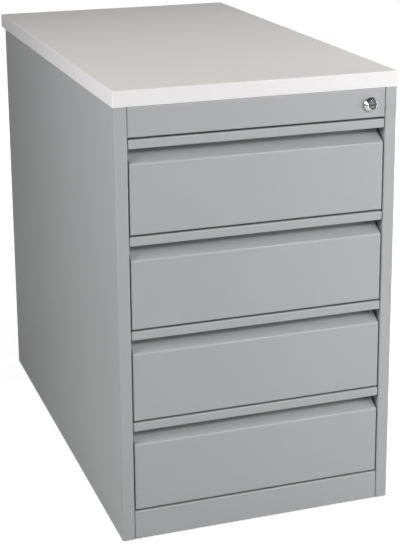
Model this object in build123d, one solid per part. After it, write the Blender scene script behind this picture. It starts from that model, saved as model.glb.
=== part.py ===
"""Desk-high steel pedestal: four full-width drawers on telescopic runners, under a board worktop.

Millimetres, +Z up. The origin is on the floor, under the middle of the whole outline.
The drawers face -Y, and +X is on the right of someone facing them.
"""
from build123d import *
import math
import os

# Folded steel carcass
CARCASS_WIDTH = 460.0      # over the two sides
CARCASS_DEPTH = 800.0      # drawer faces to the outside of the back
SHEET = 1.0                # steel of the carcass and the drawer fronts
FOLD_INSIDE = 1.0          # inside radius of a fold
FLOOR_GAP = 3.0            # daylight under the sides
STILE_WIDTH = 20.0         # front face of a side panel
STILE_RETURN = 30.0        # the stile's inner wall, front to back
SIDE_FLANGE = 15.0         # top, bottom and back flanges of a side panel
PANEL_DEPTH = 25.0         # folded edges of the plinth and the fascia
SEAM = 0.5                 # joint between a stile and the fixed panels

# Front, from the floor up
PLINTH_HEIGHT = 48.0
DRAWER_COUNT = 4
FRONT_HEIGHT = 148.0
FRONT_GAP = 3.0            # above and below a drawer front
FRONT_SIDE_GAP = 2.0       # between a drawer face and the stile
LIP_SIDE_GAP = 1.5         # between a pull's lip and the stile
FASCIA_HEIGHT = 47.0

# Full-width finger pull along the top of each drawer front
FRONT_DEPTH = 26.0
PULL_LIP = 14.0            # strip that hangs in front of the fingers
PULL_OPENING = 23.5        # from the strip down to the fold of the face
SLOPE_RISE = 17.0          # how far the slope climbs towards the back of the recess
PULL_FOLD = 4.0            # outside radius of the fold between the face and the slope
LIP_HEM = 6.0              # safe edge folded up inside the strip

# Drawer tray
TRAY_SHEET = 0.8
TRAY_HEIGHT = 105.0
TRAY_BACK_GAP = 52.0       # tray to back panel
TRAY_LIFT = 12.0           # tray floor above the lower edge of its front
TRAY_HEM = 7.0             # edges of the tray's walls, folded in
TRAY_FLOOR = 1.0           # floor sheet, laid on the lower folds of the sides

# Telescopic runners
RUNNER_HEIGHT = 45.0
RUNNER_THICK = 12.7
RUNNER_SHEET = 1.2
RUNNER_LEVEL = 48.0        # runner centre above the lower edge of the front
RUNNER_SETBACK = 4.0       # from the back of the front to the runner's end
RUNNER_TAIL = 66.0         # tray's back beyond the runner
TRAVEL_RESERVE = 30.0      # runner length that a full pull leaves unused
BALL_RACE = 4.0            # room for the balls between two channels
CAGE_PLAY = 0.2            # ball cage to channel, each way
CAGE_WEB = 0.5
CAGE_MARGIN = 5.0          # cage to the end of the shortest overlap

# Runner posts and their screws
POST_WIDTH = 30.0
POST_CLEARANCE = 18.0      # lock bar to the front post
REAR_POST_INSET = 20.0     # runner's back end to the rear post
RUNNER_SCREW_RADIUS = 2.0
RUNNER_SCREW_GRIP = 4.0    # length beyond the post
RUNNER_HEAD_RADIUS = 3.8
RUNNER_HEAD = 1.5
HEAD_ROOM = 0.4            # screw head to ball cage
HOLE_PLAY = 0.1            # screw to its hole, all round

# Worktop
TOP_THICK = 25.0
TOP_SIDE_OVERHANG = 2.0
TOP_BACK_OVERHANG = 26.0
EDGING = 2.0
EDGING_ROUND = 0.8
TOP_SCREW_RADIUS = 2.0
TOP_SCREW_LENGTH = 14.0
TOP_HEAD_RADIUS = 4.5
TOP_HEAD = 2.4
TOP_SCREW_SPACING = 150.0
RAIL_DEPTH = 40.0          # rear rail under the worktop
RAIL_HEIGHT = 25.0

# Base and levelling feet
BASE_LEVEL = 18.0          # underside of the base panel above the floor
BASE_FLANGE = 15.0
FOOT_INSET = 45.0          # foot centre from the outside of the carcass
FOOT_FRONT_INSET = 75.0
FOOT_PAD_RADIUS = 18.0
FOOT_PAD_HEIGHT = 9.0
FOOT_STUD_RADIUS = 5.0
FOOT_STUD_TOP = 46.0
FOOT_SOCKET = 5.0          # stud's end held in the pad
FOOT_NUT_SIZE = 17.0       # across flats
FOOT_NUT_HEIGHT = 8.0
FOOT_FIT = 0.08            # stud to nut

# Lock
LOCK_INSET = 25.5          # from the right stile to the lock's axis
LOCK_LEVEL = 22.0          # above the lower edge of the fascia
LOCK_PROUD = 8.0
BEZEL_RADIUS = 12.0
BEZEL_RIM = 1.5
BEZEL_FACE_RADIUS = 9.0
BARREL_RADIUS = 9.0
PLUG_RADIUS = 5.6
PLUG_HEAD_RADIUS = 6.8
PLUG_HEAD = 4.0
PLUG_RECESS = 0.4          # plug's face behind the bezel's
LOCK_FIT = 0.08
KEYWAY_LENGTH = 8.0
KEYWAY_WIDTH = 1.8
KEYWAY_DEPTH = 16.0
LOCK_NUT_SIZE = 24.0
LOCK_NUT_THICK = 5.0
CAM_THICK = 2.5
CAM_PLAY = 0.4             # cam to barrel
CAM_RIM = 2.0              # steel around the crank pin
CRANK = 6.0                # pin from the plug's axis
CRANK_START = 45.0         # degrees below level when unlocked
PIN_RADIUS = 2.0
PIN_OVERREACH = 2.0
PIN_CLEARANCE = 0.2        # crank pin to screw head
CAM_GRIP = 0.4             # screw head over the edge of the cam's hole
CAM_SCREW_RADIUS = 1.5
CAM_SCREW_LENGTH = 7.0
CAM_SCREW_HEAD = 1.8
CAM_SCREW_ROOM = 1.0       # screw head to lock bar

# Lock bar, its guides and the drawers' catches
BAR_THICK = 2.0
BAR_WIDTH = 9.0
ARM_HEIGHT = 15.0
ARM_RIM = 4.0              # steel around the end of the arm's slot
SLOT_PLAY = 0.4
HOOK_HEIGHT = 8.0
HOOK_GAP = 2.0             # hook to tray side
HOOK_LIFT = 6.0            # unlocked hook above the runner
HOOK_DROP = 2.0            # unlocked hook below its catch
CATCH_HEIGHT = 12.0
CATCH_THICK = 2.0
CATCH_FOOT = 20.0
CATCH_CLEARANCE = 3.2      # catch to runner post
CATCH_PLAY = 1.0           # catch to hook, front to back
GUIDE_WALL = 4.0
GUIDE_HEIGHT = 14.0
GUIDE_PLAY = 0.3
GUIDE_INNER_WALL = 2.4

# Places that follow from the sizes
FOLD = FOLD_INSIDE + SHEET
HALF_WIDTH = CARCASS_WIDTH / 2
OPENING = HALF_WIDTH - STILE_WIDTH
FRONT = (LOCK_PROUD - CARCASS_DEPTH - TOP_BACK_OVERHANG) / 2
BACK = FRONT + CARCASS_DEPTH
PITCH = FRONT_HEIGHT + FRONT_GAP
PLINTH_TOP = FLOOR_GAP + PLINTH_HEIGHT
FASCIA_BOTTOM = PLINTH_TOP + DRAWER_COUNT * PITCH + FRONT_GAP
CARCASS_TOP = FASCIA_BOTTOM + FASCIA_HEIGHT
BEHIND_FRONT = FRONT + FRONT_DEPTH
TRAY_HALF = OPENING - RUNNER_THICK
TRAY_END = BACK - 2 * SHEET - TRAY_BACK_GAP
RUNNER_START = BEHIND_FRONT + RUNNER_SETBACK
RUNNER_END = TRAY_END - RUNNER_TAIL
DRAWER_TRAVEL = RUNNER_END - RUNNER_START - TRAVEL_RESERVE
LOCK_X = OPENING - LOCK_INSET
LOCK_Z = FASCIA_BOTTOM + LOCK_LEVEL
BARREL_END = FRONT + STILE_RETURN
CAM_FRONT = BARREL_END + CAM_PLAY
CAM_BACK = CAM_FRONT + CAM_THICK
BAR_FRONT = CAM_BACK + CAM_SCREW_HEAD + CAM_SCREW_ROOM
BAR_BACK = BAR_FRONT + BAR_THICK
BAR_LEFT = OPENING + SHEET + GUIDE_INNER_WALL + GUIDE_PLAY
BAR_RIGHT = BAR_LEFT + BAR_WIDTH
CAM_HEAD_RADIUS = CRANK - PIN_RADIUS - PIN_CLEARANCE
TAIL_RADIUS = CAM_HEAD_RADIUS - CAM_GRIP
HOOK_LEVEL = RUNNER_LEVEL + RUNNER_HEIGHT / 2 + HOOK_LIFT
CATCH_LEVEL = HOOK_LEVEL + HOOK_HEIGHT + HOOK_DROP
FIRST_POST = BAR_BACK + POST_CLEARANCE
LAST_POST = RUNNER_END - REAR_POST_INSET - POST_WIDTH
POSTS = [FIRST_POST, (FIRST_POST + LAST_POST) / 2, LAST_POST]
DRAWERS = range(1, DRAWER_COUNT + 1)


def front_bottom(drawer):
    """Lower edge of a drawer front; drawer 1 is at the top."""
    return PLINTH_TOP + FRONT_GAP + (DRAWER_COUNT - drawer) * PITCH


def slab(x, y, z):
    """Block between pairs of coordinates."""
    spans = [(min(pair), max(pair)) for pair in (x, y, z)]
    middle = [(low + high) / 2 for low, high in spans]
    return Pos(*middle) * Box(*[high - low for low, high in spans])


def rod(start, direction, radius, length):
    """Round bar from a point along a direction."""
    base = Plane(origin=start, z_dir=direction)
    return base * Cylinder(radius, length, align=(Align.CENTER, Align.CENTER, Align.MIN))


def hexagon(start, direction, across_flats, length):
    """Six-sided bar from a point along a direction."""
    outline = RegularPolygon(across_flats / 2, side_count=6, major_radius=False)
    return extrude(Plane(origin=start, z_dir=direction) * outline, length)


def mirrored(solid):
    """The same piece for the other hand."""
    return mirror(solid, about=Plane.YZ)


def both_hands(solids):
    """Right-hand pieces together with their left-hand twins."""
    return list(solids) + [mirrored(solid) for solid in solids]


def folded(path, sheet=SHEET):
    """Outline of a steel sheet bent along its outside line, each bend to the left."""
    points = [Vector(*point) for point in path]
    steps = [(b - a).normalized() for a, b in zip(points, points[1:])]
    lefts = [Vector(-step.Y, step.X) for step in steps]
    inner = [points[0] + lefts[0] * sheet]
    for point, before, after in zip(points[1:], lefts, lefts[1:]):
        inner.append(point + (before + after) * (sheet / (1 + before.dot(after))))
    inner.append(points[-1] + lefts[-1] * sheet)
    outside = FilletPolyline(*points, radius=FOLD_INSIDE + sheet)
    inside = FilletPolyline(*inner, radius=FOLD_INSIDE)
    ends = [Line(points[0], inner[0]), Line(points[-1], inner[-1])]
    return make_face(outside.edges() + inside.edges() + ends)


def fronted_block(x, y, z, radius):
    """Block with the four edges of its front face rounded."""
    block = slab(x, y, z)
    return fillet(block.faces().sort_by(Axis.Y)[0].edges(), radius)


def fixed_panel(z):
    """Open-backed panel between the stiles, its four edges folded back."""
    half = OPENING - SEAM
    outside = fronted_block((-half, half), (FRONT, FRONT + PANEL_DEPTH), z, FOLD)
    inside = fronted_block(
        (-half + SHEET, half - SHEET),
        (FRONT + SHEET, FRONT + PANEL_DEPTH + SHEET),
        (z[0] + SHEET, z[1] - SHEET),
        FOLD_INSIDE,
    )
    return outside - inside


def worktop():
    """Board with an edging strip along each side, and the screws that hold it from below."""
    half = HALF_WIDTH + TOP_SIDE_OVERHANG
    back = BACK + TOP_BACK_OVERHANG
    z = (CARCASS_TOP, CARCASS_TOP + TOP_THICK)
    board = slab((-half + EDGING, half - EDGING), (FRONT + EDGING, back - EDGING), z)

    front_strip = slab((-half, half), (FRONT, FRONT + EDGING), z)
    front_strip = fillet(front_strip.faces().sort_by(Axis.Y)[0].edges(), EDGING_ROUND)
    back_strip = slab((-half, half), (back - EDGING, back), z)
    back_strip = fillet(back_strip.faces().sort_by(Axis.Y)[-1].edges(), EDGING_ROUND)
    side_strip = slab((half - EDGING, half), (FRONT + EDGING, back - EDGING), z)
    long_edges = side_strip.faces().sort_by(Axis.X)[-1].edges().filter_by(Axis.Y)
    side_strip = fillet(long_edges, EDGING_ROUND)

    screws = []
    for x, y in top_screw_places():
        place = (x, y, CARCASS_TOP - SHEET)
        screw = rod(place, (0, 0, 1), TOP_SCREW_RADIUS, SHEET + TOP_SCREW_LENGTH)
        screws.append(screw + rod(place, (0, 0, -1), TOP_HEAD_RADIUS, TOP_HEAD))
        depth = TOP_SCREW_LENGTH + HOLE_PLAY
        board -= rod((x, y, CARCASS_TOP), (0, 0, 1), TOP_SCREW_RADIUS + HOLE_PLAY, depth)
    return board, [front_strip, back_strip] + both_hands([side_strip]), screws


def top_screw_places():
    """Screws up through the fascia's top edge and through the rear rail."""
    front_row = FRONT + PANEL_DEPTH / 2
    back_row = BACK - 2 * SHEET - RAIL_DEPTH / 2
    columns = (-TOP_SCREW_SPACING, 0, TOP_SCREW_SPACING)
    return [(x, y) for y in (front_row, back_row) for x in columns]


def drill_top_screws(panel):
    """Clearance holes for the worktop screws."""
    for x, y in top_screw_places():
        start = (x, y, CARCASS_TOP - 2 * SHEET)
        panel -= rod(start, (0, 0, 1), TOP_SCREW_RADIUS + HOLE_PLAY, 3 * SHEET)
    return panel


def side_panel():
    """Right-hand side: one sheet folded round the front into a stile, and flanged elsewhere."""
    path = [
        (OPENING, FRONT + STILE_RETURN),
        (OPENING, FRONT),
        (HALF_WIDTH, FRONT),
        (HALF_WIDTH, BACK),
        (HALF_WIDTH - SIDE_FLANGE, BACK),
    ]
    height = CARCASS_TOP - FLOOR_GAP
    skin = extrude(Pos(0, 0, FLOOR_GAP) * folded(path), height)
    across = (HALF_WIDTH - SIDE_FLANGE, HALF_WIDTH - SHEET)
    along = (FRONT + STILE_RETURN, BACK - 2 * SHEET)
    top_flange = slab(across, along, (CARCASS_TOP - SHEET, CARCASS_TOP))
    bottom_flange = slab(across, along, (FLOOR_GAP, FLOOR_GAP + SHEET))
    return skin + top_flange + bottom_flange


def back_panel():
    """Flat sheet welded inside the back flanges of the two sides."""
    half = HALF_WIDTH - FOLD
    return slab((-half, half), (BACK - 2 * SHEET, BACK - SHEET), (FLOOR_GAP, CARCASS_TOP))


def rear_rail():
    """Angle across the top of the back, under the worktop."""
    half = HALF_WIDTH - SIDE_FLANGE
    back = BACK - 2 * SHEET
    flat = slab((-half, half), (back - RAIL_DEPTH, back), (CARCASS_TOP - SHEET, CARCASS_TOP))
    lip_y = (back - RAIL_DEPTH, back - RAIL_DEPTH + SHEET)
    lip = slab((-half, half), lip_y, (CARCASS_TOP - RAIL_HEIGHT, CARCASS_TOP))
    return drill_top_screws(flat + lip)


def foot_places():
    """Names and plan positions of the levelling feet."""
    x = HALF_WIDTH - FOOT_INSET
    rows = {"front": FRONT + FOOT_FRONT_INSET, "rear": BACK - FOOT_INSET}
    hands = {"left": -x, "right": x}
    return {f"{row}_{hand}": (hands[hand], rows[row]) for row in rows for hand in hands}


def base_panel():
    """Floor of the carcass, flanged up along the sides, with a hole over each foot."""
    half = HALF_WIDTH - SHEET
    along = (FRONT + STILE_RETURN + SHEET, BACK - 2 * SHEET)
    base = slab((-half, half), along, (BASE_LEVEL, BASE_LEVEL + SHEET))
    upright = (BASE_LEVEL, BASE_LEVEL + SHEET + BASE_FLANGE)
    base += slab((half - SHEET, half), along, upright)
    base += slab((-half, -half + SHEET), along, upright)
    base += slab((-half, half), (along[0], along[0] + SHEET), upright)
    for x, y in foot_places().values():
        start = (x, y, BASE_LEVEL - SHEET)
        base -= rod(start, (0, 0, 1), FOOT_STUD_RADIUS + FOOT_FIT + HOLE_PLAY, 3 * SHEET)
    return base


def foot_nut(x, y):
    """Weld nut on the base panel."""
    start = (x, y, BASE_LEVEL + SHEET)
    bore = rod(start, (0, 0, 1), FOOT_STUD_RADIUS + FOOT_FIT, FOOT_NUT_HEIGHT)
    return hexagon(start, (0, 0, 1), FOOT_NUT_SIZE, FOOT_NUT_HEIGHT) - bore


def foot(x, y):
    """Levelling foot: a plastic pad moulded on the end of a steel stud."""
    seat = FOOT_PAD_HEIGHT - FOOT_SOCKET
    stud = rod((x, y, seat), (0, 0, 1), FOOT_STUD_RADIUS, FOOT_STUD_TOP - seat)
    pad = rod((x, y, 0), (0, 0, 1), FOOT_PAD_RADIUS, FOOT_PAD_HEIGHT)
    pad = chamfer(pad.edges().sort_by(Axis.Z)[-1], FOOT_PAD_HEIGHT / 3)
    return [pad - stud, stud]


def lock_hole():
    """Hole through the fascia for the lock barrel."""
    return rod((LOCK_X, FRONT - SHEET, LOCK_Z), (0, 1, 0), BARREL_RADIUS + HOLE_PLAY, 3 * SHEET)


def lock_housing():
    """Conical bezel and barrel in one piece, bored for the plug."""
    rim = rod((LOCK_X, FRONT, LOCK_Z), (0, -1, 0), BEZEL_RADIUS, BEZEL_RIM)
    cone_height = LOCK_PROUD - BEZEL_RIM
    cone_base = Plane(origin=(LOCK_X, FRONT - BEZEL_RIM, LOCK_Z), z_dir=(0, -1, 0))
    upright = (Align.CENTER, Align.CENTER, Align.MIN)
    cone = cone_base * Cone(BEZEL_RADIUS, BEZEL_FACE_RADIUS, cone_height, align=upright)
    barrel = rod((LOCK_X, FRONT, LOCK_Z), (0, 1, 0), BARREL_RADIUS, BARREL_END - FRONT)
    face = (LOCK_X, FRONT - LOCK_PROUD, LOCK_Z)
    bore = rod(face, (0, 1, 0), PLUG_RADIUS + LOCK_FIT, LOCK_PROUD + BARREL_END - FRONT)
    counterbore = rod(face, (0, 1, 0), PLUG_HEAD_RADIUS + LOCK_FIT, PLUG_RECESS + PLUG_HEAD + LOCK_FIT)
    return rim + cone + barrel - bore - counterbore


def lock_nut():
    """Hexagon nut that clamps the lock to the back of the fascia."""
    start = (LOCK_X, FRONT + SHEET, LOCK_Z)
    bore = rod(start, (0, 1, 0), BARREL_RADIUS + HOLE_PLAY, LOCK_NUT_THICK)
    return hexagon(start, (0, 1, 0), LOCK_NUT_SIZE, LOCK_NUT_THICK) - bore


def lock_plug():
    """Turning plug with its keyway, a shouldered head and a tail for the cam."""
    face_y = FRONT - LOCK_PROUD + PLUG_RECESS
    face = (LOCK_X, face_y, LOCK_Z)
    plug = rod(face, (0, 1, 0), PLUG_HEAD_RADIUS, PLUG_HEAD)
    plug += rod(face, (0, 1, 0), PLUG_RADIUS, CAM_FRONT - face_y)
    plug += rod(face, (0, 1, 0), TAIL_RADIUS, CAM_BACK - face_y)
    keyway = slab(
        (LOCK_X - KEYWAY_LENGTH / 2, LOCK_X + KEYWAY_LENGTH / 2),
        (face_y - SHEET, face_y + KEYWAY_DEPTH),
        (LOCK_Z - KEYWAY_WIDTH / 2, LOCK_Z + KEYWAY_WIDTH / 2),
    )
    tail_end = (LOCK_X, CAM_BACK, LOCK_Z)
    tapping = rod(tail_end, (0, -1, 0), CAM_SCREW_RADIUS + HOLE_PLAY, CAM_SCREW_LENGTH + HOLE_PLAY)
    return plug - keyway - tapping


def crank_pin_place():
    """Crank pin's centre when the lock is open."""
    angle = math.radians(CRANK_START)
    return LOCK_X - CRANK * math.cos(angle), LOCK_Z - CRANK * math.sin(angle)


def lock_cam():
    """Disc on the plug's tail, with the crank pin that drives the lock bar."""
    centre = (LOCK_X, CAM_FRONT, LOCK_Z)
    disc = rod(centre, (0, 1, 0), CRANK + PIN_RADIUS + CAM_RIM, CAM_THICK)
    disc -= rod(centre, (0, 1, 0), TAIL_RADIUS + LOCK_FIT, CAM_THICK)
    pin_x, pin_z = crank_pin_place()
    pin_length = BAR_BACK + PIN_OVERREACH - CAM_FRONT - CAM_THICK / 2
    return disc + rod((pin_x, CAM_FRONT + CAM_THICK / 2, pin_z), (0, 1, 0), PIN_RADIUS, pin_length)


def cam_screw():
    """Screw that holds the cam on the plug's tail."""
    seat = (LOCK_X, CAM_BACK, LOCK_Z)
    shank = rod(seat, (0, -1, 0), CAM_SCREW_RADIUS, CAM_SCREW_LENGTH)
    return shank + rod(seat, (0, 1, 0), CAM_HEAD_RADIUS, CAM_SCREW_HEAD)


def arm_z():
    """Lower and upper edges of the lock bar's arm when the lock is open."""
    _, pin_z = crank_pin_place()
    return pin_z - ARM_HEIGHT / 2, pin_z + ARM_HEIGHT / 2


def lock_bar():
    """Flat upright bar behind the right stile, lifted by the cam to lock the drawers."""
    bottom = front_bottom(DRAWER_COUNT) + HOOK_LEVEL
    return slab((BAR_LEFT, BAR_RIGHT), (BAR_FRONT, BAR_BACK), (bottom, arm_z()[1]))


def lock_bar_arm():
    """Arm welded to the top of the bar, with a level slot for the crank pin."""
    pin_x, pin_z = crank_pin_place()
    slot_half = PIN_RADIUS + SLOT_PLAY
    slot_left = LOCK_X - CRANK - slot_half
    arm = slab((slot_left - ARM_RIM, BAR_LEFT), (BAR_FRONT, BAR_BACK), arm_z())
    slot = slab(
        (slot_left, pin_x + slot_half),
        (BAR_FRONT - SHEET, BAR_BACK + SHEET),
        (pin_z - slot_half, pin_z + slot_half),
    )
    return arm - slot


def lock_bar_hook(drawer):
    """Hook welded to the bar, below a drawer's catch until the lock is turned."""
    bottom = front_bottom(drawer) + HOOK_LEVEL
    return slab((TRAY_HALF + HOOK_GAP, BAR_LEFT), (BAR_FRONT, BAR_BACK), (bottom, bottom + HOOK_HEIGHT))


def bar_guide(drawer):
    """Plastic guide on the inside of the right side panel, with a slot for the lock bar."""
    middle = front_bottom(drawer) + RUNNER_LEVEL
    z = (middle - GUIDE_HEIGHT / 2, middle + GUIDE_HEIGHT / 2)
    block = slab(
        (BAR_LEFT - GUIDE_PLAY - GUIDE_INNER_WALL, HALF_WIDTH - SHEET),
        (BAR_FRONT - GUIDE_PLAY - GUIDE_WALL, BAR_BACK + GUIDE_PLAY + GUIDE_WALL),
        z,
    )
    slot = slab(
        (BAR_LEFT - GUIDE_PLAY, BAR_RIGHT + GUIDE_PLAY),
        (BAR_FRONT - GUIDE_PLAY, BAR_BACK + GUIDE_PLAY),
        z,
    )
    return block - slot


def runner_post(y):
    """Upright channel welded inside the right side panel, drilled for the runner screws."""
    bottom = BASE_LEVEL + SHEET + BASE_FLANGE
    z = (bottom, CARCASS_TOP - SHEET)
    post = slab((OPENING, OPENING + SHEET), (y, y + POST_WIDTH), z)
    across = (OPENING, HALF_WIDTH - SHEET)
    post += slab(across, (y, y + SHEET), z)
    post += slab(across, (y + POST_WIDTH - SHEET, y + POST_WIDTH), z)
    for drawer in DRAWERS:
        post -= runner_screw_hole(drawer, y)
    return post


def runner_screw_place(drawer, post):
    """Centre of a runner screw on the face of a right-hand post."""
    return OPENING, post + POST_WIDTH / 2, front_bottom(drawer) + RUNNER_LEVEL


def runner_screw_hole(drawer, post):
    """Clearance hole through a post and the fixed channel's web."""
    x, y, z = runner_screw_place(drawer, post)
    through = 2 * (RUNNER_SHEET + SHEET)
    start = (x - through / 2, y, z)
    return rod(start, (1, 0, 0), RUNNER_SCREW_RADIUS + HOLE_PLAY, through)


def runner_screw(drawer, post):
    """Pan-head screw through the fixed channel into a right-hand post."""
    x, y, z = runner_screw_place(drawer, post)
    seat = (x - RUNNER_SHEET, y, z)
    shank = rod(seat, (1, 0, 0), RUNNER_SCREW_RADIUS, RUNNER_SHEET + SHEET + RUNNER_SCREW_GRIP)
    return shank + rod(seat, (-1, 0, 0), RUNNER_HEAD_RADIUS, RUNNER_HEAD)


def channel(drawer, web, lips, half_height, web_thick, lip_thick, y):
    """Right-hand channel section; web and lips are distances in from the runner posts."""
    middle = front_bottom(drawer) + RUNNER_LEVEL
    web_x = (OPENING - web, OPENING - web - web_thick)
    lip_x = (OPENING - lips[0], OPENING - lips[1])
    section = slab(web_x, y, (middle - half_height, middle + half_height))
    for sign in (-1, 1):
        outer = middle + sign * half_height
        section += slab(lip_x, y, (outer - sign * lip_thick, outer))
    return section


# Runner section, measured in from the post and up from the runner's centre
MIDDLE_WEB = RUNNER_SHEET + RUNNER_HEAD + HEAD_ROOM + CAGE_WEB + CAGE_PLAY
INNER_LIP = MIDDLE_WEB + RUNNER_SHEET + CAGE_WEB + 2 * CAGE_PLAY
INNER_WEB = RUNNER_THICK - RUNNER_SHEET
LIP_END = INNER_WEB - RUNNER_SHEET
FIXED_HALF = RUNNER_HEIGHT / 2
MIDDLE_HALF = FIXED_HALF - RUNNER_SHEET - BALL_RACE
INNER_HALF = MIDDLE_HALF - RUNNER_SHEET - BALL_RACE
CAGE_LIP = BALL_RACE - 2 * CAGE_PLAY
RUNNER_Y = (RUNNER_START, RUNNER_END)
CAGE_INSET = DRAWER_TRAVEL / 4 + CAGE_MARGIN
CAGE_Y = (RUNNER_START + CAGE_INSET, RUNNER_END - CAGE_INSET)


def fixed_channel(drawer):
    """Outer runner member, screwed to the posts."""
    section = channel(drawer, 0, (0, LIP_END), FIXED_HALF, RUNNER_SHEET, RUNNER_SHEET, RUNNER_Y)
    for post in POSTS:
        section -= runner_screw_hole(drawer, post)
    return section


def middle_channel(drawer):
    """Runner member that travels half as far as the drawer."""
    lips = (MIDDLE_WEB, LIP_END)
    return channel(drawer, MIDDLE_WEB, lips, MIDDLE_HALF, RUNNER_SHEET, RUNNER_SHEET, RUNNER_Y)


def inner_channel(drawer):
    """Runner member fixed to the tray's side."""
    lips = (INNER_LIP, RUNNER_THICK)
    return channel(drawer, INNER_WEB, lips, INNER_HALF, RUNNER_SHEET, RUNNER_SHEET, RUNNER_Y)


def outer_cage(drawer):
    """Ball cage between the fixed and the middle channel."""
    web = MIDDLE_WEB - CAGE_PLAY - CAGE_WEB
    half = FIXED_HALF - RUNNER_SHEET - CAGE_PLAY
    return channel(drawer, web, (web, LIP_END - CAGE_PLAY), half, CAGE_WEB, CAGE_LIP, CAGE_Y)


def inner_cage(drawer):
    """Ball cage between the middle and the inner channel."""
    web = MIDDLE_WEB + RUNNER_SHEET + CAGE_PLAY
    half = MIDDLE_HALF - RUNNER_SHEET - CAGE_PLAY
    return channel(drawer, web, (web, LIP_END - CAGE_PLAY), half, CAGE_WEB, CAGE_LIP, CAGE_Y)


def front_block(drawer, inset):
    """Prism behind a drawer face, drawn in by a wall's thickness; its top slopes up and back."""
    depth = FRONT_DEPTH - SHEET
    incline = math.atan2(SLOPE_RISE, depth)
    bottom = front_bottom(drawer)
    fold_z = bottom + FRONT_HEIGHT - PULL_LIP - PULL_OPENING
    front = FRONT + inset
    back = FRONT + depth + inset
    drop = inset / math.cos(incline)
    front_top = fold_z + (front - FRONT) * math.tan(incline) - drop
    back_top = fold_z + (back - FRONT) * math.tan(incline) - drop
    corners = [
        (front, bottom + inset),
        (back, bottom + inset),
        (back, back_top),
        (front, front_top),
    ]
    half = OPENING - FRONT_SIDE_GAP - inset
    profile = make_face(Polyline(*corners, close=True))
    block = extrude(Plane.YZ.offset(-half) * profile, 2 * half)
    upper_edge = block.faces().sort_by(Axis.Y)[0].edges().sort_by(Axis.Z)[-1]
    block = fillet(upper_edge, PULL_FOLD - inset)
    other_edges = block.faces().sort_by(Axis.Y)[0].edges().sort_by(Axis.Z)[:-1]
    return fillet(other_edges, FOLD - inset)


def drawer_skin(drawer):
    """Outer sheet of a drawer front: face, folded edges and the slope of the pull."""
    return front_block(drawer, 0) - front_block(drawer, SHEET)


def pull_liner(drawer):
    """Inner sheet of a drawer front, folded over at the top into the lip of the pull."""
    bottom = front_bottom(drawer)
    top = bottom + FRONT_HEIGHT
    lip_bottom = top - PULL_LIP
    path = [(BEHIND_FRONT, bottom), (BEHIND_FRONT, top), (FRONT, top), (FRONT, lip_bottom)]
    half = OPENING - LIP_SIDE_GAP
    liner = extrude(Plane.YZ.offset(-half) * folded(path), 2 * half)
    hem_y = (FRONT + SHEET, FRONT + 2 * SHEET)
    liner += slab((-half, half), hem_y, (lip_bottom, lip_bottom + LIP_HEM))
    long_edges = liner.edges().filter_by(Axis.X)
    hem_edges = long_edges.filter_by_position(Axis.Z, lip_bottom - HOLE_PLAY, lip_bottom + HOLE_PLAY)
    return fillet(hem_edges, SHEET - HOLE_PLAY)


def tray_levels(drawer):
    """Underside of a tray, top of its floor sheet, and rim."""
    bottom = front_bottom(drawer) + TRAY_LIFT
    return bottom, bottom + TRAY_SHEET + TRAY_FLOOR, bottom + TRAY_HEIGHT


def tray_floor(drawer):
    """Flat sheet welded on the lower folds of the tray's sides."""
    bottom, floor_top, _ = tray_levels(drawer)
    half = TRAY_HALF - TRAY_SHEET - FOLD_INSIDE
    return slab((-half, half), (BEHIND_FRONT, TRAY_END), (bottom + TRAY_SHEET, floor_top))


def tray_side(drawer):
    """Right-hand tray wall, folded in at the top and bottom, and flanged to the drawer front."""
    bottom, floor_top, rim = tray_levels(drawer)
    edge = TRAY_HALF - TRAY_HEM
    path = [(edge, bottom), (TRAY_HALF, bottom), (TRAY_HALF, rim), (edge, rim)]
    wall = extrude(Plane.XZ.offset(-TRAY_END) * folded(path, TRAY_SHEET), TRAY_END - BEHIND_FRONT)
    flange_y = (BEHIND_FRONT, BEHIND_FRONT + TRAY_SHEET)
    return wall + slab((edge, TRAY_HALF - TRAY_SHEET), flange_y, (floor_top, rim - TRAY_SHEET))


def tray_back(drawer):
    """Tray's back wall, welded between the folds of its sides."""
    bottom, floor_top, rim = tray_levels(drawer)
    low = max(floor_top, bottom + TRAY_SHEET + FOLD_INSIDE)
    high = rim - TRAY_SHEET - FOLD_INSIDE
    edge = TRAY_END - TRAY_HEM
    path = [(edge, low), (TRAY_END, low), (TRAY_END, high), (edge, high)]
    half = TRAY_HALF - TRAY_SHEET
    return extrude(Plane.YZ.offset(-half) * folded(path, TRAY_SHEET), 2 * half)


def tray(drawer):
    """The tray's four sheets."""
    return [tray_floor(drawer), tray_back(drawer)] + both_hands([tray_side(drawer)])


def lock_catch(drawer):
    """Angle welded to the tray's right side, for a hook of the lock bar to stand in front of."""
    bottom = front_bottom(drawer) + CATCH_LEVEL
    z = (bottom, bottom + CATCH_HEIGHT)
    front = BAR_BACK + CATCH_PLAY
    tab = slab((TRAY_HALF, OPENING - CATCH_CLEARANCE), (front, front + CATCH_THICK), z)
    return tab + slab((TRAY_HALF, TRAY_HALF + CATCH_THICK), (front, front + CATCH_FOOT), z)


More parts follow.
